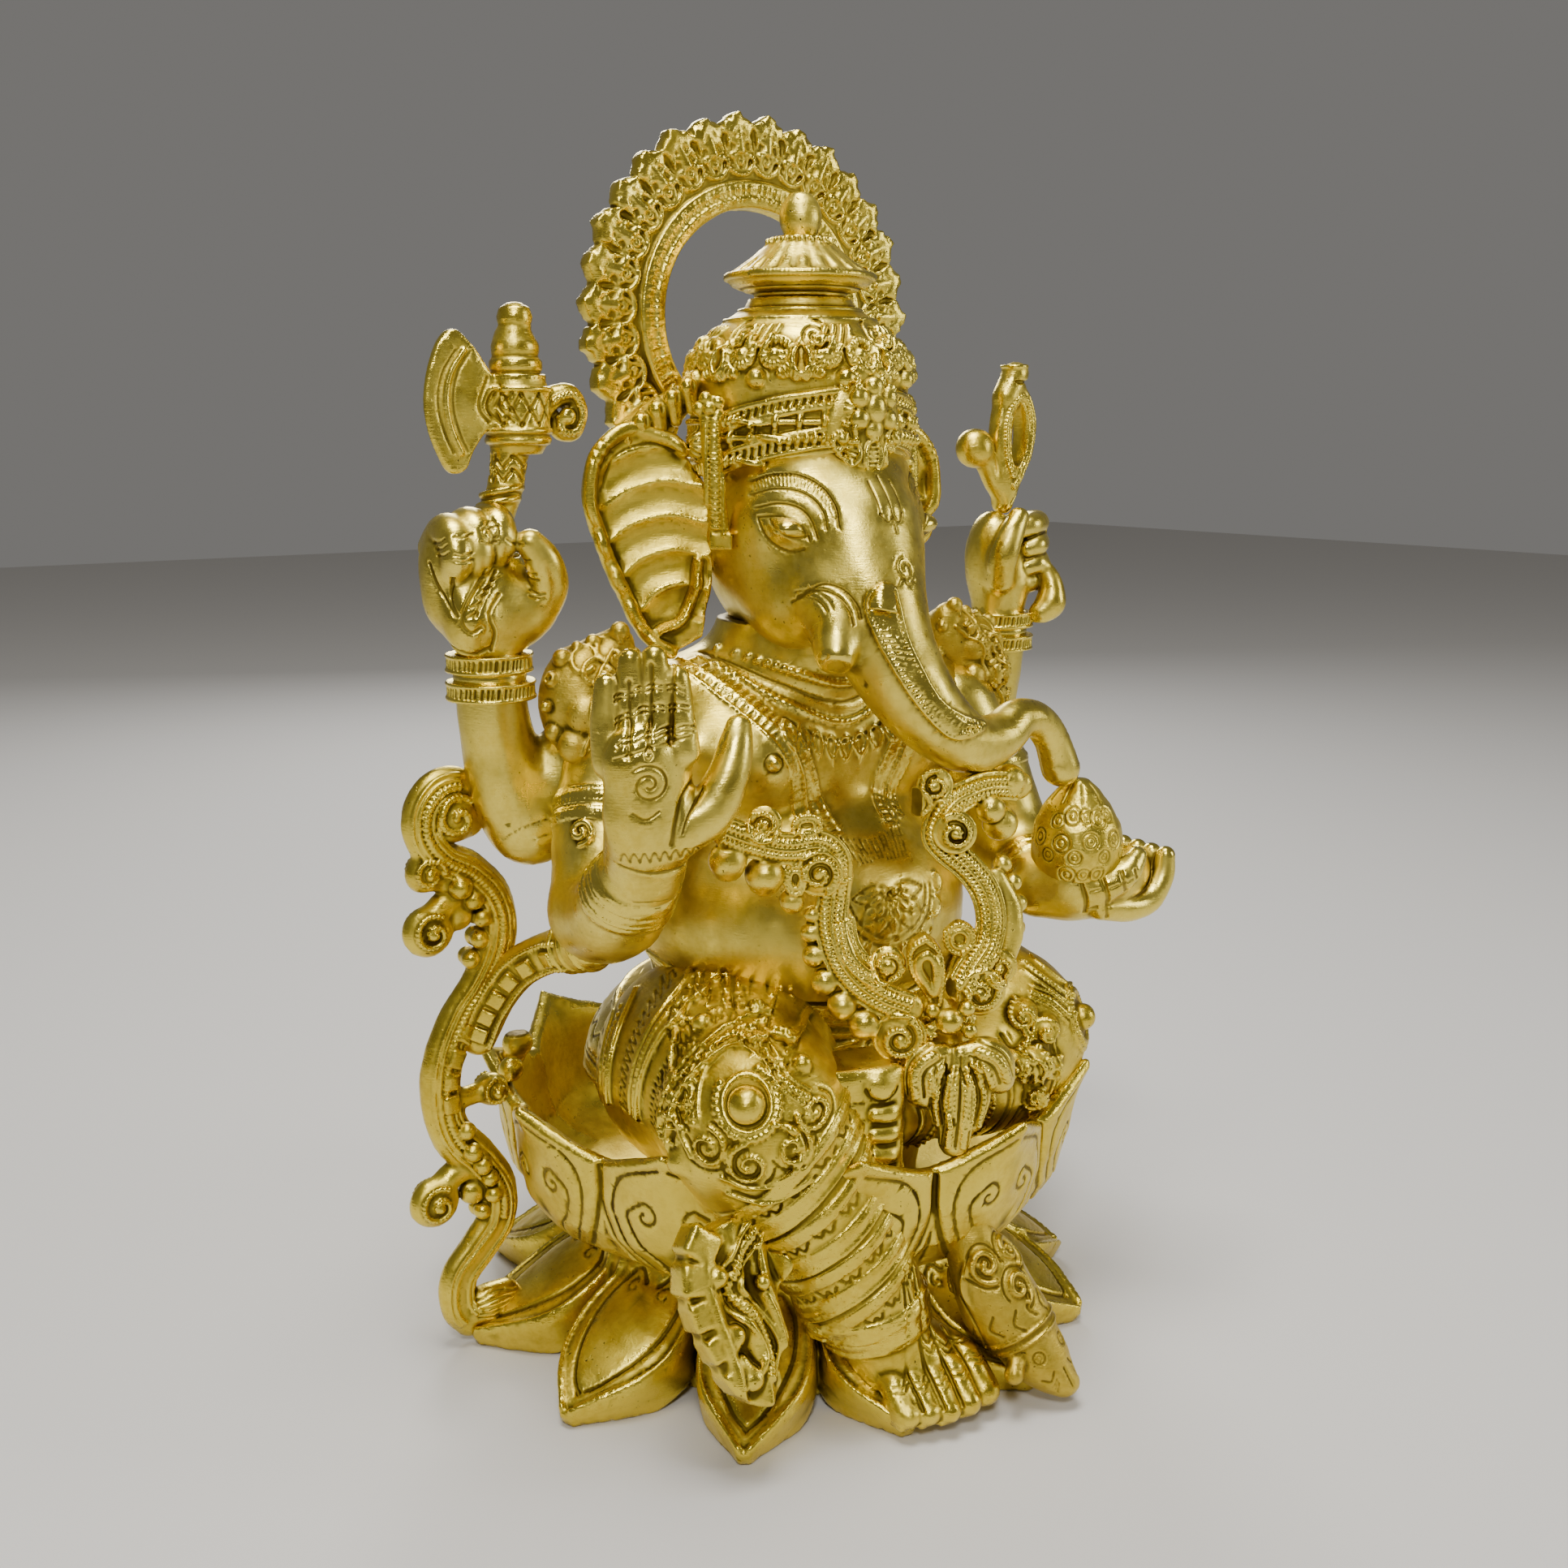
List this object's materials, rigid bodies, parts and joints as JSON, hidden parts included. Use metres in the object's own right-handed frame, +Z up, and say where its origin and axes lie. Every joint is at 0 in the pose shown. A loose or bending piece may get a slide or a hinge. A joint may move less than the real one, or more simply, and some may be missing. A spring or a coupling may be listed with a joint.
{
  "type": "idol",
  "caption": "Cast brass figure of a four-armed seated elephant-headed deity on a two-tier lotus, with a flame arch behind the head and a scrolled side strut.",
  "frame": {"origin": "centre of the underside of the base, on the surface that the figure stands on", "axes": "+Z up; the figure faces -Y, so its own right hand is at -X"},
  "size_m": [0.2896, 0.2554, 0.4493],
  "materials": {
    "brass": "sand-cast brass, polished on the high spots, darker in the recesses",
    "brass_pale": "brighter polished cast brass",
    "steel": "plain zinc-plated steel"
  },
  "bodies": {
    "root": {"axe": "brass", "base_plate": "steel", "crown": "brass_pale", "crown_cap": "brass_pale", "crown_crest": "brass_pale", "crown_finial": "brass_pale", "garland_rosette": "brass", "garland_tassel": "brass", "halo": "brass_pale", "head": "brass", "left_ear": "brass", "left_ear_ribbon": "brass", "left_front_arm": "brass", "left_front_hand": "brass", "left_garland": "brass", "left_halo_bracket": "brass", "left_halo_screw": "steel", "left_leg": "brass", "left_rear_arm": "brass", "left_rear_bangle_lower": "brass", "left_rear_bangle_upper": "brass", "left_rear_hand": "brass", "left_shoulder_ornament": "brass", "lower_lotus": "brass", "modak": "brass", "mouse": "brass", "noose": "brass", "right_ear": "brass", "right_ear_ribbon": "brass", "right_front_arm": "brass", "right_front_hand": "brass", "right_garland": "brass", "right_halo_bracket": "brass", "right_halo_screw": "steel", "right_leg": "brass", "right_rear_arm": "brass", "right_rear_bangle_lower": "brass", "right_rear_bangle_upper": "brass", "right_rear_hand": "brass", "right_scroll_branch": "brass", "right_shoulder_ornament": "brass", "right_side_scroll": "brass", "sash_end": "brass", "tie_rod": "steel", "tie_rod_lower_nut": "steel", "tie_rod_lower_washer": "steel", "tie_rod_upper_nut": "steel", "tie_rod_upper_washer": "steel", "torso": "brass", "upper_lotus": "brass"}
  },
  "joints": []
}
